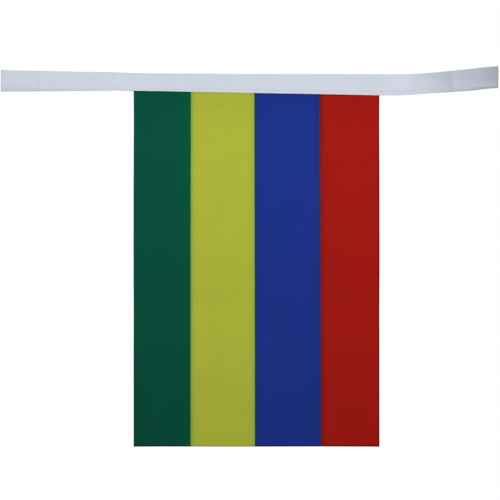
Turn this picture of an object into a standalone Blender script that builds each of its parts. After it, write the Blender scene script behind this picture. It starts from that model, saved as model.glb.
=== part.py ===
"""A length of flag bunting: one printed cloth flag, held in a tape that is folded over its top edge.

Metres, +Z up. +X runs along the tape to the viewer's right, and the front of the flag faces -Y. The origin is
on top of the tape's fold, over the middle of the flag.

The shapes are worked out about a datum point, which is on the middle plane of the tape at its lower edge, over
the middle of the flag. The objects are then placed so that the top of the fold comes to the origin.
"""

from collections import namedtuple
from math import ceil, cos, pi, radians, sin

import bmesh
import bpy
from mathutils import Vector

MM = 0.001
UPRIGHT = Vector((0, 0, 1))

# Cloth solids: how thick each layer is, and the air between two layers that touch in the real thing
CLOTH = 1.0 * MM
AIR = 0.3 * MM

# The flag, cut as a rectangle and printed in upright bands, from left to right
Stripe = namedtuple("Stripe", "name width colour")
STRIPES = (
    Stripe("green", 34.88 * MM, (12, 74, 58)),
    Stripe("yellow", 38.8 * MM, (166, 174, 56)),
    Stripe("blue", 39.94 * MM, (29, 50, 130)),
    Stripe("red", 36.38 * MM, (155, 26, 20)),
)
FLAG_WIDTH = sum(stripe.width for stripe in STRIPES)
FLAG_LENGTH = 225.0 * MM
FLAG_DROP = 216.0 * MM  # from the datum down to the flag's bottom edge, which is level

# The flag leaves the leaning tape in a bend of this radius, then hangs nearly flat
BEND_RADIUS = 1.5 * MM
FLUTE = 0.4 * MM  # height of the shallow upright waves at the bottom edge
FLUTE_WAVES = 1.6
FLUTE_PHASE = radians(35)
LEFT_CURL = 0.8 * MM  # how far each bottom corner turns toward the viewer
RIGHT_CURL = 0.6 * MM

# The level waves down the flag: how far back the cloth stands, at each distance below the bend
Wave = namedtuple("Wave", "below back")
WAVES = (
    Wave(0.0 * MM, 0.0 * MM),
    Wave(8.0 * MM, 1.1 * MM),
    Wave(15.0 * MM, 1.55 * MM),
    Wave(22.0 * MM, 1.55 * MM),
    Wave(30.0 * MM, 0.95 * MM),
    Wave(40.0 * MM, 0.2 * MM),
    Wave(50.0 * MM, -0.45 * MM),
    Wave(65.0 * MM, -1.1 * MM),
    Wave(80.0 * MM, -1.35 * MM),
    Wave(95.0 * MM, -1.6 * MM),
    Wave(105.0 * MM, -1.25 * MM),
    Wave(115.0 * MM, -0.7 * MM),
    Wave(125.0 * MM, -0.1 * MM),
    Wave(133.0 * MM, 0.25 * MM),
    Wave(142.0 * MM, 0.2 * MM),
    Wave(152.0 * MM, -0.15 * MM),
    Wave(162.0 * MM, -0.3 * MM),
    Wave(176.0 * MM, -0.15 * MM),
    Wave(192.0 * MM, 0.25 * MM),
    Wave(204.0 * MM, 0.3 * MM),
    Wave(216.0 * MM, 0.0 * MM),
)

# The tape, cut this wide and folded in half along its length
TAPE_WIDTH = 26.0 * MM
LOOSE_AIR = 0.4 * MM  # between the tape's two layers, away from the flag
CLOSING_START = 1.0 * MM  # how far past the flag's side the two layers start to close up
CLOSING_LENGTH = 8.0 * MM

# The tape's run from its left end to its right end. x is along the tape, rise is its lower edge's height above
# the datum, forward is how far it comes toward the viewer of the place where it would lie straight over the
# hanging flag, and lean is how far its top edge leans back, in degrees.
Station = namedtuple("Station", "x rise forward lean")
STATIONS = (
    Station(-155.65 * MM, 0.93 * MM, 4.5 * MM, 8),
    Station(-141.0 * MM, 1.08 * MM, 3.2 * MM, 15),
    Station(-128.0 * MM, 1.1 * MM, 2.1 * MM, 17),
    Station(-119.0 * MM, 1.2 * MM, 1.4 * MM, 19),
    Station(-108.0 * MM, 1.4 * MM, 0.8 * MM, 24),
    Station(-96.0 * MM, 1.4 * MM, 0.4 * MM, 25),
    Station(-86.0 * MM, 1.58 * MM, 0.1 * MM, 28),
    Station(-70.0 * MM, 1.25 * MM, 0.0 * MM, 29),
    Station(-50.0 * MM, 0.92 * MM, 0.0 * MM, 28),
    Station(-35.0 * MM, 0.6 * MM, 0.0 * MM, 26),
    Station(0.0 * MM, 0.0 * MM, 0.0 * MM, 22),
    Station(20.0 * MM, -0.32 * MM, 0.0 * MM, 18),
    Station(38.0 * MM, -0.63 * MM, 0.0 * MM, 15),
    Station(55.0 * MM, -0.98 * MM, 0.0 * MM, 12),
    Station(75.0 * MM, -1.35 * MM, 0.0 * MM, 5),
    Station(86.0 * MM, -1.35 * MM, 0.1 * MM, 9),
    Station(95.0 * MM, -0.95 * MM, 0.5 * MM, 13),
    Station(106.0 * MM, -0.36 * MM, 2.85 * MM, 13),
    Station(112.0 * MM, -0.22 * MM, 5.15 * MM, 12.5),
    Station(118.2 * MM, 0.1 * MM, 8.05 * MM, 9.5),
    Station(130.0 * MM, 0.58 * MM, 13.5 * MM, 1),
    Station(137.0 * MM, 1.08 * MM, 18.0 * MM, 2),
    Station(144.25 * MM, 1.22 * MM, 24.6 * MM, 3),
)
TAPE_START = STATIONS[0].x
TAPE_END = STATIONS[-1].x
STRAIGHT_END = 3.0 * MM  # the tape runs straight over this length before each cut end

# Sharp creases across the tape, where it was once folded up: a ridge toward the viewer, with sides that fade out
Crease = namedtuple("Crease", "x height reach")
CREASES = (
    Crease(-132.0 * MM, 0.4 * MM, 6.0 * MM),
    Crease(118.6 * MM, 0.3 * MM, 4.0 * MM),
)

# How finely the solids are divided
STRIPE_COLUMNS = 6
TUCK_ROWS = 4
BEND_ROWS = 3
HANG_ROWS = 34
TAPE_STEP = 5.0 * MM
LAYER_ROWS = 4
FOLD_ROWS = 6
SLOPE_STEP = 0.5 * MM  # over which the tape's direction is measured


def linear(colour):
    """The RGBA that a shader takes for a screen colour of 0 to 255."""
    shares = [value / 255 for value in colour]
    return [s / 12.92 if s <= 0.04045 else ((s + 0.055) / 1.055) ** 2.4 for s in shares] + [1.0]


def cloth_material(name, colour, roughness):
    material = bpy.data.materials.new(name)
    material.use_nodes = True
    shader = material.node_tree.nodes["Principled BSDF"]
    shader.inputs["Base Color"].default_value = linear(colour)
    shader.inputs["Roughness"].default_value = roughness
    shader.inputs["Metallic"].default_value = 0.0
    material.diffuse_color = linear(colour)
    return material


def ease(share):
    """0 to 1 with a level start and end."""
    share = min(max(share, 0.0), 1.0)
    return share * share * (3 - 2 * share)


def along_rows(rows, column, place):
    """A column of a table at a place, on a smooth curve through its rows. Their first column is their place."""
    places = [row[0] for row in rows]
    values = [getattr(row, column) for row in rows]
    last = len(places) - 1
    i = max(k for k in range(last) if k == 0 or places[k] <= place)
    length = places[i + 1] - places[i]
    share = (place - places[i]) / length

    def slope(k):
        before, after = max(k - 1, 0), min(k + 1, last)
        return (values[after] - values[before]) / (places[after] - places[before])

    value = values[i] + (values[i + 1] - values[i]) * share * share * (3 - 2 * share)
    value += slope(i) * length * share * (1 - share) ** 2
    value -= slope(i + 1) * length * share * share * (1 - share)
    return value


def crease_height(x):
    """How far the tape's creases stand toward the viewer at x."""
    height = 0.0
    for crease in CREASES:
        nearness = max(0.0, 1 - abs(x - crease.x) / crease.reach)
        height += crease.height * nearness * nearness
    return height


def lean_at(x):
    return radians(along_rows(STATIONS, "lean", x))


def edge_depth(x):
    """The Y of the tape's middle plane at its lower edge."""
    behind_flag = BEND_RADIUS * (1 - cos(lean_at(x)))
    return behind_flag - along_rows(STATIONS, "forward", x) - crease_height(x)


def edge_at(x):
    """The tape's lower edge at x, on its middle plane."""
    return Vector((x, edge_depth(x), along_rows(STATIONS, "rise", x)))


def tape_frame(x):
    """The tape's lower edge at x, the direction up the tape and the one out of its back."""
    bent = min(max(x, TAPE_START + STRAIGHT_END), TAPE_END - STRAIGHT_END)
    run = (edge_at(bent + SLOPE_STEP) - edge_at(bent - SLOPE_STEP)) / (2 * SLOPE_STEP)
    edge = edge_at(bent) + run * (x - bent)
    back = UPRIGHT.cross(run).normalized()
    lean = lean_at(bent)
    up = UPRIGHT * cos(lean) + back * sin(lean)
    out = back * cos(lean) - UPRIGHT * sin(lean)
    return edge, up, out


def fold_radius(x):
    """Radius of the middle of the cloth in the tape's fold: round the flag's top edge, and tighter past its sides."""
    past_flag = (abs(x) - FLAG_WIDTH / 2 - CLOSING_START) / CLOSING_LENGTH
    open_air = CLOTH + 2 * AIR
    air = open_air + (LOOSE_AIR - open_air) * ease(past_flag)
    return (air + CLOTH) / 2


def layer_height(x):
    """How far the tape's two flat layers reach up before the fold."""
    return (TAPE_WIDTH - pi * fold_radius(x)) / 2


def tape_section(x):
    """The tape's section from the front's lower edge, over the fold, to the back's: (up the tape, out of its back)."""
    radius, flat = fold_radius(x), layer_height(x)
    front = [(flat * k / LAYER_ROWS, -radius) for k in range(LAYER_ROWS)]
    turns = [pi * k / FOLD_ROWS for k in range(FOLD_ROWS + 1)]
    fold = [(flat + radius * sin(turn), -radius * cos(turn)) for turn in turns]
    back = [(height, radius) for height, _ in reversed(front)]
    return front + fold + back


def tape_columns():
    """Where the tape's sections stand: evenly along it, with more at each crease."""
    count = ceil((TAPE_END - TAPE_START) / TAPE_STEP)
    even = [TAPE_START + (TAPE_END - TAPE_START) * k / count for k in range(count + 1)]
    near = [c.x + c.reach * share for c in CREASES for share in (-1, -0.5, 0, 0.5, 1)]
    near += [TAPE_START, TAPE_START + STRAIGHT_END, TAPE_END - STRAIGHT_END, TAPE_END]
    kept = [x for x in even if all(abs(x - other) > TAPE_STEP / 4 for other in near)]
    return sorted(kept + near)


def tape_points():
    columns = []
    for x in tape_columns():
        edge, up, out = tape_frame(x)
        columns.append([edge + up * height + out * depth for height, depth in tape_section(x)])
    return columns


def fold_top():
    """The top of the tape's fold, over the middle of the flag."""
    edge, up, _ = tape_frame(0.0)
    return edge + up * (layer_height(0.0) + fold_radius(0.0) + CLOTH / 2)


def flag_columns():
    """The X of each column of the flag's grid, with one on every border between stripes."""
    columns = [-FLAG_WIDTH / 2]
    for stripe in STRIPES:
        start = columns[-1]
        columns += [start + stripe.width * (k + 1) / STRIPE_COLUMNS for k in range(STRIPE_COLUMNS)]
    return columns


def sway(x, down):
    """How far the hanging cloth stands toward the viewer. down is 0 under the tape and 1 at the bottom edge."""
    side = 2 * x / FLAG_WIDTH
    wave = -along_rows(WAVES, "back", down * WAVES[-1].below)
    flute = FLUTE * down * down * cos(FLUTE_WAVES * pi * side + FLUTE_PHASE)
    curl = down**3 * (LEFT_CURL * max(0.0, -side) ** 3 + RIGHT_CURL * max(0.0, side) ** 3)
    return wave + flute + curl


def flag_column(x):
    """The flag at x, from its top edge inside the tape, round the bend under the tape, to the bottom edge."""
    edge, up, _ = tape_frame(x)
    lean = lean_at(x)
    bend_drop = BEND_RADIUS * sin(lean)
    hang_top = edge.z - bend_drop
    tucked = FLAG_LENGTH - BEND_RADIUS * lean - (hang_top + FLAG_DROP)
    points = [edge + up * tucked * (1 - k / TUCK_ROWS) for k in range(TUCK_ROWS)]
    for k in range(BEND_ROWS):
        still_leaning = lean * (1 - k / BEND_ROWS)
        forward = BEND_RADIUS * (cos(still_leaning) - cos(lean))
        drop = BEND_RADIUS * (sin(lean) - sin(still_leaning))
        points.append(edge - Vector((0, forward, drop)))
    hang_depth = edge.y - BEND_RADIUS * (1 - cos(lean))
    for k in range(HANG_ROWS + 1):
        down = k / HANG_ROWS
        height = hang_top + (-FLAG_DROP - hang_top) * down
        points.append(Vector((x, hang_depth - sway(x, down), height)))
    return points


def cloth_object(name, columns, materials, material_of_column):
    """A sheet through columns of points, thickened evenly to both sides."""
    across, down = len(columns) - 1, len(columns[0]) - 1
    grid = bmesh.new()
    bmesh.ops.create_grid(grid, x_segments=across, y_segments=down, size=0.5)
    for face in grid.faces:
        column = int((face.calc_center_median().x + 0.5) * across)
        face.material_index = material_of_column(column)
        face.smooth = True
    for vertex in grid.verts:
        column = round((vertex.co.x + 0.5) * across)
        row = round((vertex.co.y + 0.5) * down)
        vertex.co = columns[column][row]
    mesh = bpy.data.meshes.new(name)
    grid.to_mesh(mesh)
    grid.free()
    for material in materials:
        mesh.materials.append(material)

    piece = bpy.data.objects.new(name, mesh)
    piece.location = -fold_top()
    thickness = piece.modifiers.new("cloth", "SOLIDIFY")
    thickness.thickness = CLOTH
    thickness.offset = 0.0
    thickness.use_even_offset = True
    return piece


def make_flag():
    materials = [cloth_material("print_" + stripe.name, stripe.colour, 0.75) for stripe in STRIPES]
    columns = [flag_column(x) for x in flag_columns()]
    return cloth_object("flag", columns, materials, lambda column: column // STRIPE_COLUMNS)


def make_tape():
    materials = [cloth_material("tape_white", (206, 212, 223), 0.8)]
    return cloth_object("tape", tape_points(), materials, lambda column: 0)


def main():
    for old in list(bpy.data.objects):
        bpy.data.objects.remove(old)
    bunting = bpy.data.collections.new("flag_bunting")
    bpy.context.scene.collection.children.link(bunting)
    for piece in (make_flag(), make_tape()):
        bunting.objects.link(piece)


if __name__ == "__main__":
    main()
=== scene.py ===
"""The looks of a length of flag bunting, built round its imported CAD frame.

Metres, +Z up. +X runs along the tape to the viewer's right, and the front of the flag faces -Y. The origin
is on top of the solid tape's fold, over the middle of the flag.

As in part.py, the shapes are worked out about a datum point, which is on the middle plane of the tape at
its lower edge, over the middle of the flag. Every point is then moved so that the top of the solid tape's
fold comes to the origin. The pieces lie on the folds of the solids that they replace, in cloth of its real
thickness.
"""

from collections import namedtuple
from math import ceil, cos, exp, hypot, pi, radians, sin

import bpy
import numpy as np
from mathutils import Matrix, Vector, noise


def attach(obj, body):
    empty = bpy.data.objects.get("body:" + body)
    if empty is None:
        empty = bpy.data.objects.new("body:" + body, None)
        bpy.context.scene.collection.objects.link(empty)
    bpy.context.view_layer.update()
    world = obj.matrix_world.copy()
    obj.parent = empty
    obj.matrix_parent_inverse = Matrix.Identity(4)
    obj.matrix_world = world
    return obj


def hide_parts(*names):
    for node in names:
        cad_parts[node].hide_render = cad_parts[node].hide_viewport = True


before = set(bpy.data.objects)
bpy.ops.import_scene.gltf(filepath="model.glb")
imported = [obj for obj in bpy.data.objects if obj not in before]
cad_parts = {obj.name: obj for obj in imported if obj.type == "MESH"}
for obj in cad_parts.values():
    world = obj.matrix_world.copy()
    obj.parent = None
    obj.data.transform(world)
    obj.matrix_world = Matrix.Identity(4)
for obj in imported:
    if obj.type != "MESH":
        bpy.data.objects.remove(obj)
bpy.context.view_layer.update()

MM = 0.001
UPRIGHT = Vector((0, 0, 1))


def in_mm(kind, *rows):
    """The rows of a table, whose numbers are given in millimetres."""
    return tuple(kind(*(number * MM for number in row)) for row in rows)


# Cloth: the flag's thickness, one layer of the tape's, and the air where two of them touch
FLAG_CLOTH = 0.22 * MM
TAPE_CLOTH = 0.3 * MM
TOUCH = 0.05 * MM

# The flag, cut as a rectangle and printed in upright bands, from left to right. Each has its screen colour
# at the top, how much lighter or darker it is at the bottom, and the tint of what rubs off on the tape's
# edge.
Stripe = namedtuple("Stripe", "name width colour foot rub")
STRIPES = (
    Stripe("green", 34.88 * MM, (1, 80, 62), 0.9, (0.92, 1.1, 1.0)),
    Stripe("yellow", 38.8 * MM, (177, 184, 59), 1.03, (1.06, 1.02, 0.8)),
    Stripe("blue", 39.94 * MM, (26, 51, 140), 0.98, (1.0, 1.02, 1.12)),
    Stripe("red", 36.38 * MM, (165, 22, 14), 1.02, (1.28, 0.93, 0.85)),
)
FLAG_WIDTH = sum(stripe.width for stripe in STRIPES)
FLAG_LENGTH = 225.0 * MM
FLAG_DROP = 216.0 * MM  # from the datum down to the flag's bottom edge, which is level

# The borders between the bands: how far each leans to the right on its way down, how wide its ragged edge
# is, and how far the inks have bled to its left and its right, each with the tint that they give there
Border = namedtuple("Border", "slant mixing left left_tint right right_tint")
BORDERS = (
    Border(-0.15 * MM, 0.5 * MM, 8.0 * MM, (1.3, 1.2, 0.75), 2.5 * MM, (0.5, 0.9, 1.6)),
    Border(0.3 * MM, 0.7 * MM, 2.6 * MM, (0.7, 0.95, 2.4), 2.2 * MM, (1.4, 1.25, 0.12)),
    Border(0.85 * MM, 0.8 * MM, 2.8 * MM, (1.9, 0.9, 0.6), 3.2 * MM, (0.58, 1.15, 2.0)),
)
NO_TINT = (1.0, 1.0, 1.0)
BAND_EDGE = 0.3 * MM  # to each side of a border, where a band's own grime or dye fades out
RAGGED = 0.3 * MM  # how far a border wanders from yarn to yarn
RAGGED_WIDTH = 0.8 * MM
BORDER_SHADE = 0.96  # the shade beside a border, which fades out between two distances from it
BORDER_FADE = (0.5 * MM, 6.0 * MM)

# The flag leaves the leaning tape in a bend of this radius, then hangs nearly flat
BEND_RADIUS = 1.5 * MM
FLUTE = 0.4 * MM  # height of the shallow upright waves at the bottom edge
FLUTE_WAVES = 1.6
FLUTE_PHASE = radians(35)
LEFT_CURL = 0.8 * MM  # how far each bottom corner turns toward the viewer
RIGHT_CURL = 0.6 * MM

# The level waves down the flag: how far back the cloth stands, at each distance below the bend
Wave = namedtuple("Wave", "below back")
WAVES = in_mm(
    Wave,
    (0.0, 0.0),
    (8.0, 1.1),
    (15.0, 1.55),
    (22.0, 1.55),
    (30.0, 0.95),
    (40.0, 0.2),
    (50.0, -0.45),
    (65.0, -1.1),
    (80.0, -1.35),
    (95.0, -1.6),
    (105.0, -1.25),
    (115.0, -0.7),
    (125.0, -0.1),
    (133.0, 0.25),
    (142.0, 0.2),
    (152.0, -0.15),
    (162.0, -0.3),
    (176.0, -0.15),
    (192.0, 0.25),
    (204.0, 0.3),
    (216.0, 0.0),
)

# Fine relief of the hanging cloth
PUCKER = 0.24 * MM  # greatest height of the short upright puckers that the seam draws
PUCKER_LENGTH = 7.0 * MM
PUCKER_START = 3.0 * MM  # over which they set in, from the datum down
PUCKER_FADE = 7.0 * MM  # over which they fade out
PUCKER_NOISE = (0.3, 4.0)  # where the noise for them is read
UNEVEN = 0.1 * MM
UNEVEN_LENGTH = 22.0 * MM
UNEVEN_START = 10.0 * MM  # over which it sets in

# A painted shadow on the flag right under the tape, and the flag's edges where heat has sealed them: the
# shade that each gives the flag's colours, the weaker one that it gives yellow, and the distances over
# which it fades out
UNDER_TAPE_SHADOW = (0.64, 0.86)
UNDER_TAPE_SHADOW_FADE = (0.1 * MM, 1.6 * MM)
SEALED = (0.42, 0.85)
SEALED_FADE = (0.15 * MM, 1.05 * MM)
SEALED_WAVER = 0.2 * MM  # how much the sealed line's width varies, and over which length
SEALED_WAVER_LENGTH = 1.2 * MM
SEALED_ROUGHNESS = 0.9
LEFT_SEAL = 0.35 * MM  # how much thinner the sealed line is on the left side
SEALED_SWELL = 0.35  # share by which the cloth is thicker at a sealed edge, and how far in
SEALED_SWELL_REACH = 0.4 * MM

# The bottom left corner is darker, over this width and height
DARK_CORNER_WIDTH = 20.0 * MM
DARK_CORNER_HEIGHT = 50.0 * MM
DARK_CORNER_FADE = (0.5, 1.3)  # the shares of them between which it fades out
DARK_CORNER_SHADE = 0.93  # the shade that it gives

# The tape, cut this wide and folded in half along its length
TAPE_WIDTH = 26.0 * MM
CLOSING_START = 1.0 * MM  # how far past the flag's side the two layers start to close up
CLOSING_LENGTH = 8.0 * MM

# The solid tape stands this far over its lower edge, and its top is the origin
SOLID_TAPE_HEIGHT = 12.758 * MM

# The tape's run from its left end to its right end. x is along the tape, and rise is its lower edge's
# height above the datum. forward is how far it comes toward the viewer of the place where it would lie
# straight over the hanging flag, and lean is how far its top edge leans back, in degrees.
Station = namedtuple("Station", "x rise forward lean")
STATIONS = tuple(
    Station(x * MM, rise * MM, forward * MM, lean)
    for x, rise, forward, lean in (
        (-155.65, 0.93, 4.5, 8),
        (-141.0, 1.08, 3.2, 15),
        (-128.0, 1.1, 2.1, 17),
        (-119.0, 1.2, 1.4, 19),
        (-108.0, 1.4, 0.8, 24),
        (-96.0, 1.4, 0.4, 25),
        (-86.0, 1.58, 0.1, 28),
        (-70.0, 1.25, 0.0, 29),
        (-50.0, 0.92, 0.0, 28),
        (-35.0, 0.6, 0.0, 26),
        (0.0, 0.0, 0.0, 22),
        (20.0, -0.32, 0.0, 18),
        (38.0, -0.63, 0.0, 15),
        (55.0, -0.98, 0.0, 12),
        (75.0, -1.35, 0.0, 5),
        (86.0, -1.35, 0.1, 9),
        (95.0, -0.95, 0.5, 13),
        (106.0, -0.36, 2.85, 13),
        (112.0, -0.22, 5.15, 12.5),
        (118.2, 0.1, 8.05, 9.5),
        (130.0, 0.58, 13.5, 1),
        (137.0, 1.08, 18.0, 2),
        (144.25, 1.22, 24.6, 3),
    )
)
TAPE_START = STATIONS[0].x
TAPE_END = STATIONS[-1].x
STRAIGHT_END = 3.0 * MM  # the tape runs straight over this length before each cut end
SLOPE_STEP = 0.5 * MM  # over which the tape's direction is measured

# Sharp creases across the tape, where it was once folded up. Each is a ridge toward the viewer, its sides
# fade out over its reach, and slant is how far it leans to the left on its way up the tape.
Crease = namedtuple("Crease", "x height reach slant")
CREASES = in_mm(
    Crease,
    (-132.0, 0.4, 6.0, 0.0),
    (118.6, 0.3, 4.0, 2.2),
)
CREASE_ROUND = 0.5 * MM  # how far from its middle a crease is rounded off

# Soft wrinkles in the tape. Each runs from one point of it to another, given as x and a height up it, and
# stands toward the viewer where its relief is above 0.
Wrinkle = namedtuple("Wrinkle", "x height end_x end_height width relief")
WRINKLES = in_mm(
    Wrinkle,
    (-152.6, 0.0, -152.4, 13.3, 0.7, 0.16),
    (-135.4, 7.2, -134.1, 2.5, 0.8, -0.19),
    (-126.0, 3.4, -121.0, 2.8, 0.7, -0.05),
    (93.0, 11.0, 112.0, 8.4, 1.3, -0.1),
    (97.0, 7.5, 108.0, 6.4, 1.4, 0.08),
    (120.1, 0.0, 117.6, 13.0, 0.9, 0.03),
    (111.0, -1.0, 110.0, 14.0, 5.0, 0.21),
    (129.3, 5.0, 129.8, 14.0, 5.5, -0.3),
    (123.6, 0.5, 124.0, 5.5, 0.9, -0.09),
    (112.0, -1.0, 140.0, -1.0, 2.8, 0.42),
    (126.5, -0.5, 138.5, -0.3, 3.2, 0.62),
    (137.0, 1.9, 143.5, 3.2, 0.7, 0.06),
)

# How far the tape's back edge hangs below its front edge: it was folded a little off its middle
Lap = namedtuple("Lap", "x drop")
LAPS = in_mm(
    Lap,
    (-155.65, 0.85),
    (-142.0, 0.75),
    (-126.0, 0.2),
    (-110.0, 0.0),
    (-80.0, -0.2),
    (95.0, -0.2),
    (118.0, 0.1),
    (130.0, 0.6),
    (144.25, 0.5),
)

# Past the flag's right side the tape is a little hollow across, and its bend slants: it starts sooner at
# the top. The hollow deepens over a length, and the slant fades out to both sides of the bend's middle.
CUP = 0.32 * MM
CUP_START = 86.0 * MM
CUP_LENGTH = 20.0 * MM
BEND_SLANT = 4.0 * MM
BEND_MIDDLE = 114.0 * MM
BEND_REACH = 12.0 * MM

# The tape's right end is cut a little askew: how much longer its lower edge is than its top, at which share
# of the height its length stays, and how far from the end that starts
ASKEW = 0.45 * MM
ASKEW_MIDDLE = 0.7
ASKEW_START = 10.0 * MM

# The seam: one line of lockstitch through both layers of the tape, and the flag between them
SeamPoint = namedtuple("SeamPoint", "x height")
SEAM = in_mm(
    SeamPoint,
    (-155.65, 1.85),
    (-146.0, 1.75),
    (-138.0, 1.45),
    (-110.0, 1.4),
    (-60.0, 1.5),
    (20.0, 2.0),
    (64.0, 1.9),
    (85.0, 2.4),
    (100.0, 2.3),
    (117.0, 2.0),
    (124.0, 1.9),
    (131.0, 1.2),
    (138.0, 0.85),
    (144.25, 0.85),
)
STITCH = 3.3 * MM
FIRST_HOLE = 1.2 * MM  # from the tape's left end to the first needle hole
THREAD_RADIUS = 0.14 * MM
THREAD_SINK = 0.2 * MM  # how deep a stitch starts in its needle hole
THREAD_RISE = 0.06 * MM  # how high its middle lies over the tape
THREAD_SLANT = 0.1 * MM  # how far a stitch drops from its first hole to its last
THREAD_DIVE = 2.6  # how steeply it comes out of its holes
THREAD_TWIST = 0.55 * MM  # length of one turn of its strands
THREAD_COLOUR = (212, 216, 226)
# painted shade between the thread's strands, and painted highlight on them
THREAD_PAINTED_SHADES = (0.8, 1.03)  # between its strands, and on them
THREAD_ROUGHNESS = 0.55
STRAND_RELIEF = 0.06 * MM
STRAND_BUMP = 0.8
GROOVE = 0.05 * MM  # how far the thread squeezes each layer
GROOVE_WIDTH = 0.45 * MM
MIDWAY_SQUEEZE = 0.7  # the share of it midway between two needle holes
# painted shade in the seam's groove, strongest where the seam is pulled tightest
GROOVE_PAINTED_SHADE = 0.93  # the shade of the tape in the groove, where the seam is pulled tightest
GROOVE_FADE = (0.1 * MM, 0.5 * MM)
TIGHT_SEAM = (45.0 * MM, 75.0 * MM)  # where that ends, from the tape's left end
# painted shade in each needle hole
HOLE_PAINTED_SHADE = 0.8
HOLE_FADE = (0.16 * MM, 0.36 * MM)  # from a needle hole's middle
LIP_LIFT = 0.06 * MM  # how far the edge below the seam stands off between two needle holes

# The tape's colour, and its shades along its length: a painted shade on its two cut ends, a little darker
# toward them, and lightest at one place. Each passes from one shade to another between two distances
# from the place that its table names.
TAPE_COLOUR = (209, 215, 227)
WHITE_PLACE = 80.0 * MM  # from the tape's left end
Passage = namedtuple("Passage", "start end before after")
FROM_LEFT = (
    Passage(0.1 * MM, 0.6 * MM, 0.9, 1.0),
    Passage(17.0 * MM, 52.0 * MM, 0.955, 1.0),
    Passage(140.0 * MM, 235.0 * MM, 1.0, 0.98),
)
FROM_WHITE = (Passage(0.0, 22.0 * MM, 1.03, 1.0),)
FROM_RIGHT = (Passage(0.1 * MM, 0.7 * MM, 0.62, 1.0), Passage(0.0, 5.0 * MM, 0.95, 1.0))

EDGE_THINNING = 0.75  # share of the tape's thickness that its two long edges lose
SELVEDGE = 0.5 * MM  # how far in from them it thins
DYED_LIP = (0.3 * MM, 1.2 * MM)  # over which the dye on the tape's lower edge fades out

# How finely the pieces are divided
FLAG_COLUMNS = 100
TUCK_ROWS = 6
BEND_ROWS = 8
HANG_ROWS = 140
RIM_STEPS = (0.08 * MM, 0.35 * MM, 0.75 * MM)  # extra lines this far inside the flag's cut edges
RIM_BULGE = 0.7  # how far a cut edge bulges out, as a share of half the cloth's thickness
LENGTH_STEPS = 1200  # along the tape, when its length is measured
COLUMNS_PER_STITCH = 5
LIP_ROWS = 4
SEAM_ROWS = tuple(k * 0.25 * MM for k in range(-3, 4))  # the rows at the seam, from it
SEAM_ROOM = 1.0 * MM  # where the lip below the seam is lower than this, those rows draw together
LAYER_ROWS = 14
FOLD_ROWS = 8
THREAD_SIDES = 8
THREAD_RINGS = (0.0, 0.05, 0.12, 0.22, 0.36, 0.5, 0.64, 0.78, 0.88, 0.95, 1.0)  # shares of a stitch

# The finish of each cloth: how far apart its yarns lie, how uneven they are, the painted shade in the
# weave's gaps and the painted highlight on its crowns, how rough and shiny it is, and how strongly its
# relief shows
Finish = namedtuple("Finish", "yarn slub gap crown roughness specular sheen bump")
FLAG_FINISH = Finish(0.42 * MM, 0.035, 0.9, 1.04, 0.72, 0.05, 0.02, 0.5)
TAPE_FINISH = Finish(0.38 * MM, 0.02, 0.92, 1.03, 0.78, 0.3, 0.1, 0.6)
SHEEN_ROUGHNESS = 0.4
YARN_RELIEF = 0.05 * MM  # how high the yarns' crowns stand
CROSSING = 0.2  # how sharply one yarn passes under the other
YARN_SHADES = (0.99, 1.01)  # of the two yarns
SLUB_WIDTH = 0.8 * MM
SLUB_LENGTH = 22.0 * MM
PATCH = 14.0 * MM  # size of the soft patches in which the cloth is lighter or darker
SLUB_RANGE = (0.9, 2.1)  # the sum of their three noises mostly lies between these
NOISE_DETAIL = 2.0

# The camera, square on to the hanging flag: the real width that the picture spans there, its distance, and
# the place of the picture's middle from the datum
VIEW_WIDTH = 305.625 * MM
VIEW_DISTANCE = 1.2
VIEW_MIDDLE = Vector((-3.98 * MM, 0.0, -95.95 * MM))
SENSOR = 36.0

# The studio
FLOOR_HEIGHT = -0.55
FLOOR_RADIUS = 2.1
FLOOR_FADE = 0.9  # width of the ring over which the floor passes into the white surround
FLOOR_CORNERS = 96
FLOOR_COLOUR = (236, 236, 236)
FLOOR_ROUGHNESS = 0.8
FLOOR_GLOW = 0.55  # the floor's own brightness, so that it is pale in a dim fill light
SURROUND_RADIUS = 9.0
SURROUND_SEGMENTS = 48
FILL = 0.22  # brightness of the light from all round

# Two soft boxes: the key light, long and narrow, over the camera's right, and a broad one for the back
SoftBox = namedtuple("SoftBox", "name place target width height spread power")
SOFT_BOXES = (
    SoftBox("key_light", (0.315, -0.968, 0.311), (0.025, 0.0, -0.04), 1.4, 0.25, radians(54), 2.05),
    SoftBox("back_light", (-0.5, 1.3, 0.5), (0.0, 0.0, -0.1), 1.2, 0.8, radians(120), 4.5),
)


def linear(colour):
    """The RGBA that a shader takes for a screen colour of 0 to 255."""
    shares = [value / 255 for value in colour]
    return [s / 12.92 if s <= 0.04045 else ((s + 0.055) / 1.055) ** 2.4 for s in shares] + [1.0]


def ease(share):
    """0 to 1 with a level start and end."""
    share = min(max(share, 0.0), 1.0)
    return share * share * (3 - 2 * share)


def along_rows(rows, column, place):
    """A column of a table at a place, on a smooth curve through its rows. Each starts with its place."""
    places = [row[0] for row in rows]
    values = [getattr(row, column) for row in rows]
    last = len(places) - 1
    i = max(k for k in range(last) if k == 0 or places[k] <= place)
    length = places[i + 1] - places[i]
    share = (place - places[i]) / length

    def slope(k):
        before, after = max(k - 1, 0), min(k + 1, last)
        return (values[after] - values[before]) / (places[after] - places[before])

    value = values[i] + (values[i + 1] - values[i]) * share * share * (3 - 2 * share)
    value += slope(i) * length * share * (1 - share) ** 2
    value -= slope(i + 1) * length * share * share * (1 - share)
    return value


def crease_height(x, share=0.0):
    """How far the creases stand toward the viewer at x, and at a share of the height over the middle."""
    height = 0.0
    for crease in CREASES:
        distance = hypot(x + crease.slant * share - crease.x, CREASE_ROUND) - CREASE_ROUND
        nearness = max(0.0, 1 - distance / crease.reach)
        height += crease.height * nearness * nearness
    return height


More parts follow.
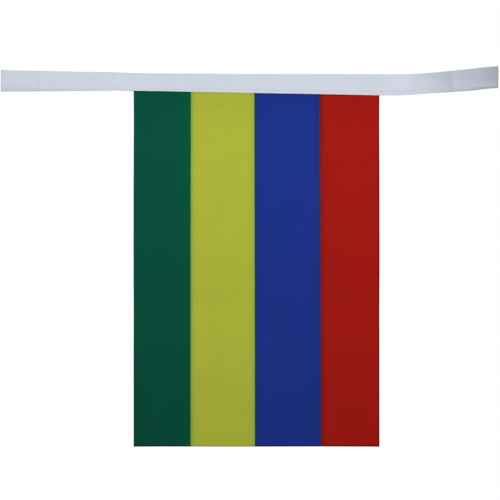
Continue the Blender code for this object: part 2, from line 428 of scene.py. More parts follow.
def lean_at(x):
    return radians(along_rows(STATIONS, "lean", x))


def edge_depth(x):
    """The Y of the tape's middle plane at its lower edge."""
    behind_flag = BEND_RADIUS * (1 - cos(lean_at(x)))
    return behind_flag - along_rows(STATIONS, "forward", x) - crease_height(x)


def edge_at(x):
    """The tape's lower edge at x, on its middle plane."""
    return Vector((x, edge_depth(x), along_rows(STATIONS, "rise", x)))


def tape_frame(x):
    """The tape's lower edge at x, the direction up the tape and the one out of its back."""
    bent = min(max(x, TAPE_START + STRAIGHT_END), TAPE_END - STRAIGHT_END)
    run = (edge_at(bent + SLOPE_STEP) - edge_at(bent - SLOPE_STEP)) / (2 * SLOPE_STEP)
    edge = edge_at(bent) + run * (x - bent)
    back = UPRIGHT.cross(run).normalized()
    lean = lean_at(bent)
    up = UPRIGHT * cos(lean) + back * sin(lean)
    out = back * cos(lean) - UPRIGHT * sin(lean)
    return edge, up, out


def datum():
    """The datum's place from the origin, which is on top of the solid tape's fold."""
    edge, up, _ = tape_frame(0.0)
    return -(edge + up * SOLID_TAPE_HEIGHT)


def fold_radius(x):
    """Radius of the cloth's middle in the tape's fold: round the flag's top edge, and tighter past it."""
    past_flag = (abs(x) - FLAG_WIDTH / 2 - CLOSING_START) / CLOSING_LENGTH
    open_air = FLAG_CLOTH + 2 * TOUCH
    air = open_air + (TOUCH - open_air) * ease(past_flag)
    return (air + TAPE_CLOTH) / 2


def layer_height(x):
    """How far the tape's two flat layers reach up before the fold."""
    return (TAPE_WIDTH - pi * fold_radius(x)) / 2


def half_lap(x):
    """How far the front's lower edge lies over the middle of the two, and the back's below it."""
    return along_rows(LAPS, "drop", x) / 2


def tape_section_point(x, across):
    """A point of the tape's middle surface, as (up the tape, out of its back).

    across is 0 at the front's lower edge and the tape's whole width at the back's.
    """
    radius, flat, lap = fold_radius(x), layer_height(x), half_lap(x)
    fold_start = flat - lap
    fold_end = fold_start + pi * radius
    if across < fold_start:
        return across + lap, -radius
    if across > fold_end:
        return TAPE_WIDTH - across - lap, radius
    turn = (across - fold_start) / radius
    return flat + radius * sin(turn), -radius * cos(turn)


def slanted_bend(x, height):
    """How far the hollow and the slant of bend and creases move the tape forward, at a height up it."""
    share = height / layer_height(x) - 0.5
    from_middle = 2 * share
    cup = CUP * ease((x - CUP_START) / CUP_LENGTH) * (from_middle * from_middle - 0.5)
    shift = BEND_SLANT * share * exp(-(((x - BEND_MIDDLE) / BEND_REACH) ** 2))
    place = min(x + shift, TAPE_END)
    bend = along_rows(STATIONS, "forward", place) - along_rows(STATIONS, "forward", x)
    return cup + bend + crease_height(x, share) - crease_height(x)


def wrinkle_relief(x, height):
    """How far the wrinkles push the tape toward the viewer, at a height up it."""
    relief = 0.0
    for wrinkle in WRINKLES:
        run_x, run_height = wrinkle.end_x - wrinkle.x, wrinkle.end_height - wrinkle.height
        from_x, from_height = x - wrinkle.x, height - wrinkle.height
        share = (from_x * run_x + from_height * run_height) / (run_x**2 + run_height**2)
        share = min(max(share, 0.0), 1.0)
        distance = hypot(from_x - share * run_x, from_height - share * run_height)
        relief += wrinkle.relief * exp(-((distance / wrinkle.width) ** 2))
    return relief


def tape_point(frame_at_x, x, height, depth):
    """The place of a point of the tape from its height up it and its depth behind its middle plane."""
    edge, up, out = frame_at_x
    level_back = Vector((out.x, out.y, 0.0)).normalized()
    bent = level_back * slanted_bend(x, height)
    near_end = ease((x - TAPE_END + ASKEW_START) / ASKEW_START)
    longer = out.cross(up) * ASKEW * near_end * (ASKEW_MIDDLE - height / layer_height(x))
    return edge + up * height + out * (depth - wrinkle_relief(x, height)) - bent + longer


def tape_lengths():
    """Values of x in small steps, and the length of tape from its left end to each."""
    xs = np.linspace(TAPE_START, TAPE_END, LENGTH_STEPS + 1)
    edges = np.array([tape_frame(x)[0] for x in xs])
    paces = np.linalg.norm(np.diff(edges, axis=0), axis=1)
    return xs, np.concatenate([[0.0], np.cumsum(paces)])


TAPE_XS, TAPE_RUNS = tape_lengths()
TAPE_LENGTH = float(TAPE_RUNS[-1])


def tape_x(run):
    """The x at a length of tape from its left end."""
    return float(np.interp(run, TAPE_RUNS, TAPE_XS))


def stitch_phase(run):
    """How many stitches come before this point: a whole number at each needle hole."""
    return (run - FIRST_HOLE) / STITCH


def seam_height(x):
    return along_rows(SEAM, "height", x)


def layer_rows(x, edge):
    """The heights up the tape of one layer's rows, from its lower edge to the fold, close at the seam."""
    seam, flat = seam_height(x), layer_height(x)
    narrower = min(1.0, (seam - edge) / SEAM_ROOM)
    near_seam = [seam + offset * narrower for offset in SEAM_ROWS]
    lip_top, layer_start = near_seam[0], near_seam[-1]
    lip = [edge + (lip_top - edge) * k / LIP_ROWS for k in range(LIP_ROWS)]
    layer = [layer_start + (flat - layer_start) * (k + 1) / LAYER_ROWS for k in range(LAYER_ROWS)]
    return lip + near_seam + layer


def tape_rows(x):
    """The distances across the tape of its grid's rows, from the front's lower edge to the back's."""
    lap = half_lap(x)
    front = [height - lap for height in layer_rows(x, lap)]
    back = [TAPE_WIDTH - height - lap for height in reversed(layer_rows(x, -lap))]
    fold = [front[-1] + (back[0] - front[-1]) * k / FOLD_ROWS for k in range(1, FOLD_ROWS)]
    return front + fold + back


def add_object(name, data):
    """A new object, in the scene."""
    item = bpy.data.objects.new(name, data)
    bpy.context.scene.collection.objects.link(item)
    return item


def grid_edge(columns, rows):
    """The columns and the rows of the points on a grid's edge, in order round it."""
    loop = [(c, 0) for c in range(columns)] + [(columns - 1, r) for r in range(1, rows)]
    loop += [(c, rows - 1) for c in range(columns - 2, -1, -1)] + [(0, r) for r in range(rows - 2, 0, -1)]
    return tuple(np.array(loop).T)


def rim_points(middle, half, edge):
    """Points a little outside a grid's edge, which round off the cloth there."""
    columns, rows = half.shape
    inner = np.clip(edge[0], 1, columns - 2), np.clip(edge[1], 1, rows - 2)
    outward = middle[edge] - middle[inner]
    outward /= np.linalg.norm(outward, axis=1, keepdims=True)
    bulge = half[edge][:, None] * RIM_BULGE
    return middle[edge] + outward * bulge


def sheet_faces(columns, rows, edge):
    """The faces of a closed sheet, whose points are one side's, the other side's and then the rim's."""
    total = columns * rows
    index = np.arange(total).reshape(columns, rows)
    corners = [index[:-1, :-1], index[1:, :-1], index[1:, 1:], index[:-1, 1:]]
    quads = np.stack(corners, axis=-1).reshape(-1, 4)
    beside = index[edge]
    rim = 2 * total + np.arange(len(beside))
    beside_next, rim_next = np.roll(beside, -1), np.roll(rim, -1)
    rim_front = np.stack([beside, rim, rim_next, beside_next], axis=-1)
    rim_back = np.stack([rim, beside + total, beside_next + total, rim_next], axis=-1)
    return np.concatenate([quads, quads[:, ::-1] + total, rim_front, rim_back])


def closed_sheet(name, middle, half, maps):
    """A closed sheet of cloth round a grid of points on its middle surface, with rounded cut edges.

    middle holds the points, by column and row, half the cloth's half thickness at each of them, and maps
    the UV maps by name, each with a pair of numbers a point.
    """
    normals = np.cross(np.gradient(middle, axis=0), np.gradient(middle, axis=1))
    normals /= np.linalg.norm(normals, axis=2, keepdims=True)
    one_side = middle + normals * half[..., None]
    other_side = middle - normals * half[..., None]
    edge = grid_edge(*half.shape)
    rim = rim_points(middle, half, edge)
    points = np.concatenate([one_side.reshape(-1, 3), other_side.reshape(-1, 3), rim])
    faces = sheet_faces(*half.shape, edge)

    mesh = bpy.data.meshes.new(name)
    mesh.from_pydata(points.tolist(), [], faces.tolist())
    for map_name, pairs in maps.items():
        one_side_pairs = pairs.reshape(-1, 2)
        at_points = np.concatenate([one_side_pairs, one_side_pairs, pairs[edge]])
        layer = mesh.uv_layers.new(name=map_name)
        layer.data.foreach_set("uv", at_points[faces.reshape(-1)].reshape(-1))
    mesh.shade_smooth()
    mesh.validate()
    return add_object(name, mesh)


def flag_columns():
    """The X of each column of the flag's grid, evenly across it, with more along its cut sides."""
    half = FLAG_WIDTH / 2
    even = [-half + FLAG_WIDTH * k / FLAG_COLUMNS for k in range(FLAG_COLUMNS + 1)]
    return sorted(even + [side * (half - step) for side in (-1, 1) for step in RIM_STEPS])


def hanging_shares():
    """How far down the hanging cloth each row lies, from 0 under the tape to 1 at the bottom edge."""
    even = [k / HANG_ROWS for k in range(HANG_ROWS + 1)]
    return sorted(even + [1 - step / FLAG_DROP for step in RIM_STEPS])


def sway(x, down):
    """How far the hanging cloth stands toward the viewer. down is 0 under the tape and 1 at the bottom."""
    side = 2 * x / FLAG_WIDTH
    wave = -along_rows(WAVES, "back", down * WAVES[-1].below)
    flute = FLUTE * down * down * cos(FLUTE_WAVES * pi * side + FLUTE_PHASE)
    curl = down**3 * (LEFT_CURL * max(0.0, -side) ** 3 + RIGHT_CURL * max(0.0, side) ** 3)
    return wave + flute + curl


def fine_relief(x, below):
    """How far the puckers and the unevenness push the cloth forward, at a distance under the datum."""
    pucker = PUCKER * noise.noise(Vector((x / PUCKER_LENGTH, *PUCKER_NOISE)))
    pucker *= ease(below / PUCKER_START) * exp(-max(below, 0.0) / PUCKER_FADE)
    uneven = UNEVEN * noise.noise(Vector((x, 0.0, below)) / UNEVEN_LENGTH)
    return pucker + uneven * ease(below / UNEVEN_START)


def flag_column(x):
    """The flag at x, from its top edge in the tape, round the bend under the tape, to the bottom edge."""
    edge, up, _ = tape_frame(x)
    lean = lean_at(x)
    bend_drop = BEND_RADIUS * sin(lean)
    hang_top = edge.z - bend_drop
    tucked = FLAG_LENGTH - BEND_RADIUS * lean - (hang_top + FLAG_DROP)
    points = [edge + up * tucked * (1 - k / TUCK_ROWS) for k in range(TUCK_ROWS)]
    for k in range(BEND_ROWS):
        still_leaning = lean * (1 - k / BEND_ROWS)
        forward = BEND_RADIUS * (cos(still_leaning) - cos(lean))
        drop = BEND_RADIUS * (sin(lean) - sin(still_leaning))
        points.append(edge - Vector((0, forward, drop)))
    hang_depth = edge.y - BEND_RADIUS * (1 - cos(lean))
    for down in hanging_shares():
        height = hang_top + (-FLAG_DROP - hang_top) * down
        depth = hang_depth - sway(x, down) - fine_relief(x, -height)
        points.append(Vector((x, depth, height)))
    return points


def make_flag():
    xs = flag_columns()
    middle = np.array([flag_column(x) for x in xs])
    paces = np.linalg.norm(np.diff(middle, axis=1), axis=2)
    down = np.concatenate([np.zeros((len(xs), 1)), np.cumsum(paces, axis=1)], axis=1)
    down *= FLAG_LENGTH / down[:, -1:]
    across = np.repeat(np.array(xs)[:, None] + FLAG_WIDTH / 2, middle.shape[1], axis=1)
    inside = np.minimum(np.minimum(across, FLAG_WIDTH - across), FLAG_LENGTH - down)
    half = FLAG_CLOTH / 2 * (1 + SEALED_SWELL * np.exp(-((inside / SEALED_SWELL_REACH) ** 2)))
    below_tape = down - down[:, TUCK_ROWS : TUCK_ROWS + 1]
    maps = {"cloth": np.stack([across, down], axis=-1), "tape": np.stack([across, below_tape], axis=-1)}
    piece = closed_sheet("flag_cloth", middle + np.array(datum()), half, maps)
    piece.data.materials.append(printed_cloth())
    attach(piece, "root")
    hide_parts("flag")


def squeeze(run, from_seam):
    """0 to 1: how strongly the seam squeezes the tape, most at each needle hole."""
    at_hole = 0.5 + 0.5 * cos(2 * pi * stitch_phase(run))
    return exp(-((from_seam / GROOVE_WIDTH) ** 2)) * (MIDWAY_SQUEEZE + (1 - MIDWAY_SQUEEZE) * at_hole)


def tape_column(run):
    """Points of the tape's middle surface at a length from its left end, from edge to edge.

    With each go the distance across the tape, the one from the seam and the cloth's half thickness.
    """
    x = tape_x(run)
    frame_at_x = tape_frame(x)
    seam, radius = seam_height(x), fold_radius(x)
    between_holes = 0.5 - 0.5 * cos(2 * pi * stitch_phase(run))
    column = []
    for across in tape_rows(x):
        height, depth = tape_section_point(x, across)
        from_seam = height - seam
        pinch = squeeze(run, from_seam)
        lift = LIP_LIFT * between_holes * ease(-from_seam / seam)
        side = depth / radius
        depth += side * (lift - pinch * TOUCH / 2)
        point = tape_point(frame_at_x, x, height, depth)
        selvedge = exp(-((min(across, TAPE_WIDTH - across) / SELVEDGE) ** 2))
        half = TAPE_CLOTH / 2 * (1 - EDGE_THINNING * selvedge) - GROOVE * pinch / 2
        column.append((point, across, from_seam, half))
    return column


def make_tape():
    count = ceil(TAPE_LENGTH / STITCH * COLUMNS_PER_STITCH)
    runs = np.linspace(0.0, TAPE_LENGTH, count + 1)
    columns = [tape_column(run) for run in runs]
    middle, across, from_seam, half = (
        np.array([[row[part] for row in column] for column in columns]) for part in range(4)
    )
    along = np.repeat(runs[:, None], middle.shape[1], axis=1)
    maps = {
        "cloth": np.stack([along, across], axis=-1),
        "seam": np.stack([stitch_phase(along), from_seam], axis=-1),
    }
    piece = closed_sheet("tape_cloth", middle + np.array(datum()), half, maps)
    piece.data.materials.append(tape_cloth())
    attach(piece, "root")
    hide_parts("tape")


def seam_surface(run, side):
    """The tape's surface on the seam, and the directions out of it and up the tape.

    side is -1 on the front and 1 on the back.
    """
    x = tape_x(run)
    frame_at_x = tape_frame(x)
    _, up, out = frame_at_x
    squeezed = TAPE_CLOTH / 2 - GROOVE * squeeze(run, 0.0) / 2
    depth = side * (fold_radius(x) + squeezed - TOUCH / 2)
    return tape_point(frame_at_x, x, seam_height(x), depth), out * side, up


def stitch_line(number, side):
    """The middle line of one stitch, from its first needle hole up over the tape and down the next."""
    points = []
    for share in THREAD_RINGS:
        run = FIRST_HOLE + (number + share) * STITCH
        surface, out, up = seam_surface(run, side)
        arch = min(1.0, THREAD_DIVE * sin(pi * share))
        lift = -THREAD_SINK + (THREAD_SINK + THREAD_RISE) * ease(arch)
        points.append(surface + out * lift + up * THREAD_SLANT * (0.5 - share))
    return points


def thread_tube(points, start_index):
    """A closed tube along a stitch: its vertices, faces and the map of its length and girth."""
    vertices, faces, pairs = [], [], []
    length = 0.0
    for k, point in enumerate(points):
        before, after = points[max(k - 1, 0)], points[min(k + 1, len(points) - 1)]
        direction = (after - before).normalized()
        sideways = direction.cross(UPRIGHT).normalized()
        level = direction.cross(sideways)
        length += (point - before).length
        for side in range(THREAD_SIDES):
            turn = 2 * pi * side / THREAD_SIDES
            vertices.append(point + (sideways * cos(turn) + level * sin(turn)) * THREAD_RADIUS)
            pairs.append((length, turn * THREAD_RADIUS))
    for k in range(len(points) - 1):
        for side in range(THREAD_SIDES):
            beside = (side + 1) % THREAD_SIDES
            a, b = start_index + k * THREAD_SIDES, start_index + (k + 1) * THREAD_SIDES
            faces.append((a + side, a + beside, b + beside, b + side))
    last = start_index + (len(points) - 1) * THREAD_SIDES
    faces.append(tuple(start_index + side for side in reversed(range(THREAD_SIDES))))
    faces.append(tuple(last + side for side in range(THREAD_SIDES)))
    return vertices, faces, pairs


def make_stitches():
    vertices, faces, pairs = [], [], []
    count = int((TAPE_LENGTH - FIRST_HOLE) / STITCH)
    for side in (-1, 1):
        for number in range(count):
            line = [point + datum() for point in stitch_line(number, side)]
            tube_vertices, tube_faces, tube_pairs = thread_tube(line, len(vertices))
            vertices += tube_vertices
            faces += tube_faces
            pairs += tube_pairs
    mesh = bpy.data.meshes.new("seam_stitches")
    mesh.from_pydata([tuple(vertex) for vertex in vertices], [], faces)
    layer = mesh.uv_layers.new(name="cloth")
    for item in mesh.loops:
        layer.data[item.index].uv = pairs[item.vertex_index]
    mesh.shade_smooth()
    mesh.validate()
    piece = add_object("seam_stitches", mesh)
    piece.data.materials.append(sewing_thread())
    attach(piece, "root")


class Graph:
    """A material's node tree, with a short call for each kind of node, for plain values or sockets."""

    def __init__(self, name):
        self.material = bpy.data.materials.new(name)
        self.material.use_nodes = True
        self.nodes = self.material.node_tree.nodes
        self.links = self.material.node_tree.links
        self.shader = self.nodes["Principled BSDF"]

    def put(self, value, socket):
        if isinstance(value, bpy.types.NodeSocket):
            self.links.new(value, socket)
        else:
            socket.default_value = value

    def math(self, operation, first, second=0.0):
        node = self.nodes.new("ShaderNodeMath")
        node.operation = operation
        self.put(first, node.inputs[0])
        self.put(second, node.inputs[1])
        return node.outputs[0]

    def blend(self, share, first, second, mode="MIX"):
        """Two colours, mixed."""
        node = self.nodes.new("ShaderNodeMix")
        node.data_type = "RGBA"
        node.blend_type = mode
        self.put(share, node.inputs["Factor"])
        self.put(first, node.inputs["A"])
        self.put(second, node.inputs["B"])
        return node.outputs["Result"]

    def ramp(self, value, start, end, low=0.0, high=1.0):
        """low up to start, high from end, and a smooth pass between them."""
        node = self.nodes.new("ShaderNodeMapRange")
        node.interpolation_type = "SMOOTHSTEP"
        for position, item in enumerate((value, start, end, low, high)):
            self.put(item, node.inputs[position])
        return node.outputs[0]

    def between(self, share, low, high):
        """low where a share is 0, high where it is 1, and a smooth pass between them."""
        return self.ramp(share, 0.0, 1.0, low, high)

    def distance(self, first, second):
        """How far from 0 two coordinates lie."""
        squares = self.math("ADD", self.math("POWER", first, 2.0), self.math("POWER", second, 2.0))
        return self.math("SQRT", squares)

    def uv(self, name):
        """The two numbers of a UV map."""
        source = self.nodes.new("ShaderNodeUVMap")
        source.uv_map = name
        parts = self.nodes.new("ShaderNodeSeparateXYZ")
        self.links.new(source.outputs[0], parts.inputs[0])
        return parts.outputs[0], parts.outputs[1]

    def noise(self, first, second, first_size, second_size):
        """0 to 1, uneven over the given distances along two coordinates."""
        join = self.nodes.new("ShaderNodeCombineXYZ")
        self.put(self.math("DIVIDE", first, first_size), join.inputs[0])
        self.put(self.math("DIVIDE", second, second_size), join.inputs[1])
        node = self.nodes.new("ShaderNodeTexNoise")
        node.noise_dimensions = "2D"
        self.put(join.outputs[0], node.inputs["Vector"])
        self.put(NOISE_DETAIL, node.inputs["Detail"])
        self.put(1.0, node.inputs["Scale"])
        return node.outputs["Fac"]

    def bump(self, height, distance, strength):
        """Relief for the shader, its height from 0 to 1 over a real distance."""
        node = self.nodes.new("ShaderNodeBump")
        self.put(height, node.inputs["Height"])
        self.put(distance, node.inputs["Distance"])
        self.put(strength, node.inputs["Strength"])
        self.links.new(node.outputs[0], self.shader.inputs["Normal"])


def plain_weave(graph, along, across, yarn):
    """The height of a plain weave's crowns, and which of its two yarns lies on top, both from 0 to 1."""
    first = graph.math("SINE", graph.math("MULTIPLY", along, pi / yarn))
    second = graph.math("SINE", graph.math("MULTIPLY", across, pi / yarn))
    crossing = graph.math("MULTIPLY", first, second)
    crown = graph.math("SQRT", graph.math("ABSOLUTE", crossing))
    on_top = graph.ramp(crossing, -CROSSING, CROSSING)
    return crown, on_top


def slubs(graph, along, across, depth):
    """A shade from 1 - depth to 1 + depth, in streaks along both yarns and in soft patches."""
    warp = graph.noise(along, across, SLUB_WIDTH, SLUB_LENGTH)
    weft = graph.noise(along, across, SLUB_LENGTH, SLUB_WIDTH)
    patch = graph.noise(along, across, PATCH, PATCH)
    total = graph.math("ADD", graph.math("ADD", warp, weft), patch)
    return graph.ramp(total, *SLUB_RANGE, 1 - depth, 1 + depth)


def shaded(graph, colour, shade):
    """A colour, made lighter or darker by a number."""
    grey = graph.nodes.new("ShaderNodeCombineColor")
    for socket in grey.inputs:
        graph.put(shade, socket)
    return graph.blend(1.0, colour, grey.outputs[0], "MULTIPLY")


def woven(graph, colour, along, across, finish):
    """A colour with the painted shade and highlight of a plain weave of that finish, and the height of its
    crowns.
    """
    crown, on_top = plain_weave(graph, along, across, finish.yarn)
    colour = shaded(graph, colour, slubs(graph, along, across, finish.slub))
    # painted shade in the weave's gaps and painted highlight on its crowns
    colour = shaded(graph, colour, graph.between(crown, finish.gap, finish.crown))
    colour = shaded(graph, colour, graph.between(on_top, *YARN_SHADES))
    return colour, crown


def dress(graph, colour, crown, finish):
    """Gives the shader its colour, and a finish's roughness, shine and relief."""
    inputs = graph.shader.inputs
    graph.put(colour, inputs["Base Color"])
    graph.put(finish.roughness, inputs["Roughness"])
    graph.put(finish.specular, inputs["Specular IOR Level"])
    graph.put(finish.sheen, inputs["Sheen Weight"])
    graph.put(SHEEN_ROUGHNESS, inputs["Sheen Roughness"])
    graph.bump(crown, YARN_RELIEF, finish.bump)


def tinted(colour, tint):
    """The RGBA of a screen colour whose light is cut or raised by a share in each of its three parts."""
    return [part * share for part, share in zip(linear(colour), tint)] + [1.0]


def ink(graph, down, stripe, tint):
    """A band's colour under a tint, a little lighter or darker toward the bottom."""
    shade = graph.ramp(down, 0.0, FLAG_LENGTH, 1.0, stripe.foot)
    return shaded(graph, tinted(stripe.colour, tint), shade)


def printed_bands(graph, across, down):
    """The flag's bands of colour, by the place on the cloth."""
    colour = ink(graph, down, STRIPES[0], NO_TINT)
    start = 0.0
    ragged = graph.noise(across, down, RAGGED_WIDTH, FLAG_FINISH.yarn)
    ragged = graph.math("MULTIPLY", graph.math("SUBTRACT", ragged, 0.5), RAGGED)
    for border, before, after in zip(BORDERS, STRIPES, STRIPES[1:]):
        start += before.width
        leaning = graph.ramp(down, 0.0, FLAG_LENGTH, 0.0, border.slant)
        place = graph.math("SUBTRACT", graph.math("SUBTRACT", across, leaning), start)
        place = graph.math("ADD", place, ragged)
        share = graph.ramp(place, -border.mixing / 2, border.mixing / 2)
        left_bleed = graph.ramp(place, -border.left, 0.0)
        right_bleed = graph.ramp(place, 0.0, border.right, 1.0, 0.0)
        left = graph.blend(left_bleed, colour, ink(graph, down, before, border.left_tint))
        right_side = ink(graph, down, after, NO_TINT)
        right = graph.blend(right_bleed, right_side, ink(graph, down, after, border.right_tint))
        colour = graph.blend(share, left, right)
        beside = graph.math("ABSOLUTE", place)
        colour = shaded(graph, colour, graph.ramp(beside, *BORDER_FADE, BORDER_SHADE, 1.0))
    return colour


def on_band(graph, across, name):
    """1 on one of the flag's bands and 0 beside it."""
    names = [stripe.name for stripe in STRIPES]
    place = names.index(name)
    start = sum(stripe.width for stripe in STRIPES[:place])
    end = start + STRIPES[place].width
    after_start = graph.ramp(across, start - BAND_EDGE, start + BAND_EDGE)
    before_end = graph.ramp(across, end - BAND_EDGE, end + BAND_EDGE, 1.0, 0.0)
    return graph.math("MULTIPLY", after_start, before_end)


def sealed_edge(graph, across, down):
    """1 on the flag's cut sides and bottom, which heat has sealed and darkened, and 0 inside them."""
    left = graph.math("ADD", across, LEFT_SEAL)
    right = graph.math("SUBTRACT", FLAG_WIDTH, across)
    bottom = graph.math("SUBTRACT", FLAG_LENGTH, down)
    inside = graph.math("MINIMUM", left, graph.math("MINIMUM", right, bottom))
    wavering = graph.noise(across, down, SEALED_WAVER_LENGTH, SEALED_WAVER_LENGTH)
    inside = graph.math("SUBTRACT", inside, graph.math("MULTIPLY", wavering, SEALED_WAVER))
    return graph.ramp(inside, *SEALED_FADE, 1.0, 0.0)


def dark_corner(graph, across, down):
    """1 over the flag's darker corner, at its bottom left, and 0 past a slanting line."""
    sideways = graph.math("DIVIDE", across, DARK_CORNER_WIDTH)
    up = graph.math("DIVIDE", graph.math("SUBTRACT", FLAG_LENGTH, down), DARK_CORNER_HEIGHT)
    return graph.ramp(graph.math("ADD", sideways, up), *DARK_CORNER_FADE, 1.0, 0.0)


def printed_cloth():
    """Plain woven polyester, printed through in bands, with a faint sheen."""
    graph = Graph("printed_polyester")
    across, down = graph.uv("cloth")
    _, below_tape = graph.uv("tape")
    colour = printed_bands(graph, across, down)
    colour, crown = woven(graph, colour, across, down, FLAG_FINISH)
    colour = shaded(graph, colour, graph.between(dark_corner(graph, across, down), 1.0, DARK_CORNER_SHADE))
    yellow = on_band(graph, across, "yellow")
    sealed = sealed_edge(graph, across, down)
    colour = shaded(graph, colour, graph.between(sealed, 1.0, graph.between(yellow, *SEALED)))
    # painted shadow where the flag comes out from under the tape's edge
    under_tape_shadow = graph.between(yellow, *UNDER_TAPE_SHADOW)
    colour = shaded(graph, colour, graph.ramp(below_tape, *UNDER_TAPE_SHADOW_FADE, under_tape_shadow, 1.0))
    dress(graph, colour, crown, FLAG_FINISH)
    roughness = graph.between(sealed, FLAG_FINISH.roughness, SEALED_ROUGHNESS)
    graph.put(roughness, graph.shader.inputs["Roughness"])
    graph.put(graph.between(sealed, FLAG_FINISH.sheen, 0.0), graph.shader.inputs["Sheen Weight"])
    return graph.material


def needle_holes(graph):
    """1 in each of the tape's needle holes, where their shade is painted, and 0 round them."""
    stitches, from_seam = graph.uv("seam")
    nearest = graph.math("SUBTRACT", stitches, graph.math("ROUND", stitches))
    beside = graph.math("MULTIPLY", nearest, STITCH)
    return graph.ramp(graph.distance(beside, from_seam), *HOLE_FADE, 1.0, 0.0)


def seam_groove_shade(graph, along):
    """1 along the seam where the thread draws the tape in most, near its left end, where the groove's shade
    is painted, and 0 beside it.
    """
    _, from_seam = graph.uv("seam")
    beside = graph.math("ABSOLUTE", from_seam)
    tight = graph.ramp(along, *TIGHT_SEAM, 1.0, 0.0)
    return graph.math("MULTIPLY", tight, graph.ramp(beside, *GROOVE_FADE, 1.0, 0.0))


def dyed_lip(graph, colour, along, across):
    """The tape's colour, tinted along its front's lower edge by the dye of the band below."""
    flag_start = float(np.interp(-FLAG_WIDTH / 2, TAPE_XS, TAPE_RUNS))
    over_flag = graph.math("SUBTRACT", along, flag_start)
    at_lip = graph.ramp(across, *DYED_LIP, 1.0, 0.0)
    for stripe in STRIPES:
        share = graph.math("MULTIPLY", at_lip, on_band(graph, over_flag, stripe.name))
        colour = graph.blend(share, colour, graph.blend(1.0, colour, [*stripe.rub, 1.0], "MULTIPLY"))
    return colour


def shade_along_tape(graph, along):
    """The shade of the tape along its length: painted shade on its cut ends, and lighter or darker along
    it.
    """
    from_white = graph.math("ABSOLUTE", graph.math("SUBTRACT", along, WHITE_PLACE))
    from_right = graph.math("SUBTRACT", TAPE_LENGTH, along)
    places = (along, from_white, from_right)
    shade = 1.0
    for place, passages in zip(places, (FROM_LEFT, FROM_WHITE, FROM_RIGHT)):
        for passage in passages:
            shade = graph.math("MULTIPLY", graph.ramp(place, *passage), shade)
    return shade


def tape_cloth():
    """Bluish white woven tape, with needle holes along its seam."""
    graph = Graph("tape_weave")
    along, across = graph.uv("cloth")
    colour, crown = woven(graph, linear(TAPE_COLOUR), along, across, TAPE_FINISH)
    # painted shade in the seam's groove
    colour = shaded(graph, colour, graph.between(seam_groove_shade(graph, along), 1.0, GROOVE_PAINTED_SHADE))
    # painted shade in the needle holes
    colour = shaded(graph, colour, graph.between(needle_holes(graph), 1.0, HOLE_PAINTED_SHADE))
    # painted shade on the cut ends, and the tape lighter or darker along its length
    colour = shaded(graph, colour, shade_along_tape(graph, along))
    colour = dyed_lip(graph, colour, along, across)
    dress(graph, colour, crown, TAPE_FINISH)
    return graph.material


def sewing_thread():
    """White thread of twisted strands."""
    graph = Graph("sewing_thread")
    along, around = graph.uv("cloth")
    turns_along = graph.math("DIVIDE", along, THREAD_TWIST)
    turns_around = graph.math("DIVIDE", around, 2 * pi * THREAD_RADIUS)
    turn = graph.math("MULTIPLY", graph.math("ADD", turns_along, turns_around), 2 * pi)
    strand = graph.math("ABSOLUTE", graph.math("SINE", turn))
    # painted shade between the strands and painted highlight on them
    colour = shaded(graph, linear(THREAD_COLOUR), graph.between(strand, *THREAD_PAINTED_SHADES))
    graph.put(colour, graph.shader.inputs["Base Color"])
    graph.put(THREAD_ROUGHNESS, graph.shader.inputs["Roughness"])
    graph.bump(strand, STRAND_RELIEF, STRAND_BUMP)
    return graph.material


def floor_material():
    """Pale floor that passes into the white surround at its rim."""
    graph = Graph("pale_floor")
    graph.put(linear(FLOOR_COLOUR), graph.shader.inputs["Base Color"])
    graph.put(FLOOR_ROUGHNESS, graph.shader.inputs["Roughness"])
    graph.put((1.0, 1.0, 1.0, 1.0), graph.shader.inputs["Emission Color"])
    graph.put(FLOOR_GLOW, graph.shader.inputs["Emission Strength"])
    place = graph.nodes.new("ShaderNodeNewGeometry")
    parts = graph.nodes.new("ShaderNodeSeparateXYZ")
    graph.links.new(place.outputs["Position"], parts.inputs[0])
    from_middle = graph.distance(parts.outputs[0], parts.outputs[1])
    clear = graph.nodes.new("ShaderNodeBsdfTransparent")
    fade = graph.nodes.new("ShaderNodeMixShader")
    graph.put(graph.ramp(from_middle, FLOOR_RADIUS - FLOOR_FADE, FLOOR_RADIUS), fade.inputs[0])
    graph.links.new(graph.shader.outputs[0], fade.inputs[1])
    graph.links.new(clear.outputs[0], fade.inputs[2])
    output = graph.nodes["Material Output"]
    graph.links.new(fade.outputs[0], output.inputs["Surface"])
    return graph.material


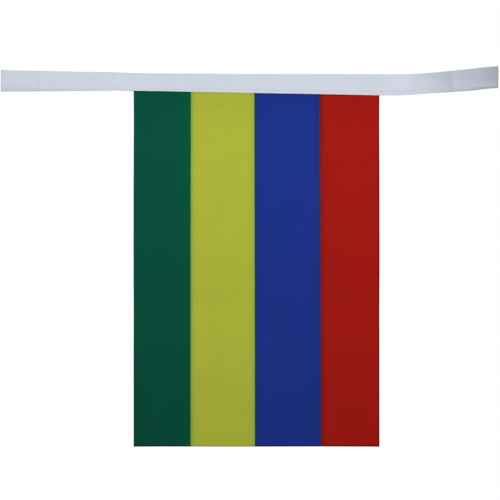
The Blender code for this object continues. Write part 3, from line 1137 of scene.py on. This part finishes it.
def make_floor():
    bpy.ops.mesh.primitive_circle_add(
        vertices=FLOOR_CORNERS, radius=FLOOR_RADIUS, fill_type="NGON", location=(0, 0, FLOOR_HEIGHT)
    )
    floor = bpy.context.object
    floor.name = "floor"
    floor.data.materials.append(floor_material())
    floor.visible_diffuse = False  # its glow doesn't reach the cloth


def make_surround():
    """A white surround that only shows behind things: it gives no light, and the fill light passes it."""
    bpy.ops.mesh.primitive_uv_sphere_add(
        segments=SURROUND_SEGMENTS, ring_count=SURROUND_SEGMENTS // 2, radius=SURROUND_RADIUS
    )
    surround = bpy.context.object
    surround.name = "surround"
    for way in ("diffuse", "glossy", "transmission", "volume_scatter", "shadow"):
        setattr(surround, "visible_" + way, False)
    material = bpy.data.materials.new("white_surround")
    material.use_nodes = True
    nodes = material.node_tree.nodes
    glow = nodes.new("ShaderNodeEmission")
    glow.inputs["Strength"].default_value = 1.0
    material.node_tree.links.new(glow.outputs[0], nodes["Material Output"].inputs["Surface"])
    surround.data.materials.append(material)


def make_soft_box(box):
    light = bpy.data.lights.new(box.name, "AREA")
    light.shape = "RECTANGLE"
    light.size = box.width
    light.size_y = box.height
    light.spread = box.spread
    light.energy = box.power
    lamp = add_object(box.name, light)
    lamp.location = box.place
    toward = Vector(box.target) - Vector(box.place)
    lamp.rotation_euler = toward.to_track_quat("-Z", "Y").to_euler()


def make_lights():
    """A dim light from all round, and the soft boxes."""
    world = bpy.data.worlds.new("studio")
    world.use_nodes = True
    background = world.node_tree.nodes["Background"]
    background.inputs["Color"].default_value = (1, 1, 1, 1)
    background.inputs["Strength"].default_value = FILL
    bpy.context.scene.world = world
    for box in SOFT_BOXES:
        make_soft_box(box)


def make_camera():
    view = bpy.data.cameras.new("camera")
    view.sensor_width = SENSOR
    view.lens = SENSOR * VIEW_DISTANCE / VIEW_WIDTH
    camera = add_object("camera", view)
    camera.location = datum() + VIEW_MIDDLE - Vector((0, VIEW_DISTANCE, 0))
    camera.rotation_euler = (pi / 2, 0, 0)
    bpy.context.scene.camera = camera
    bpy.context.scene.view_settings.view_transform = "Standard"


make_camera()
make_lights()
make_floor()
make_surround()
make_tape()
make_flag()
make_stitches()
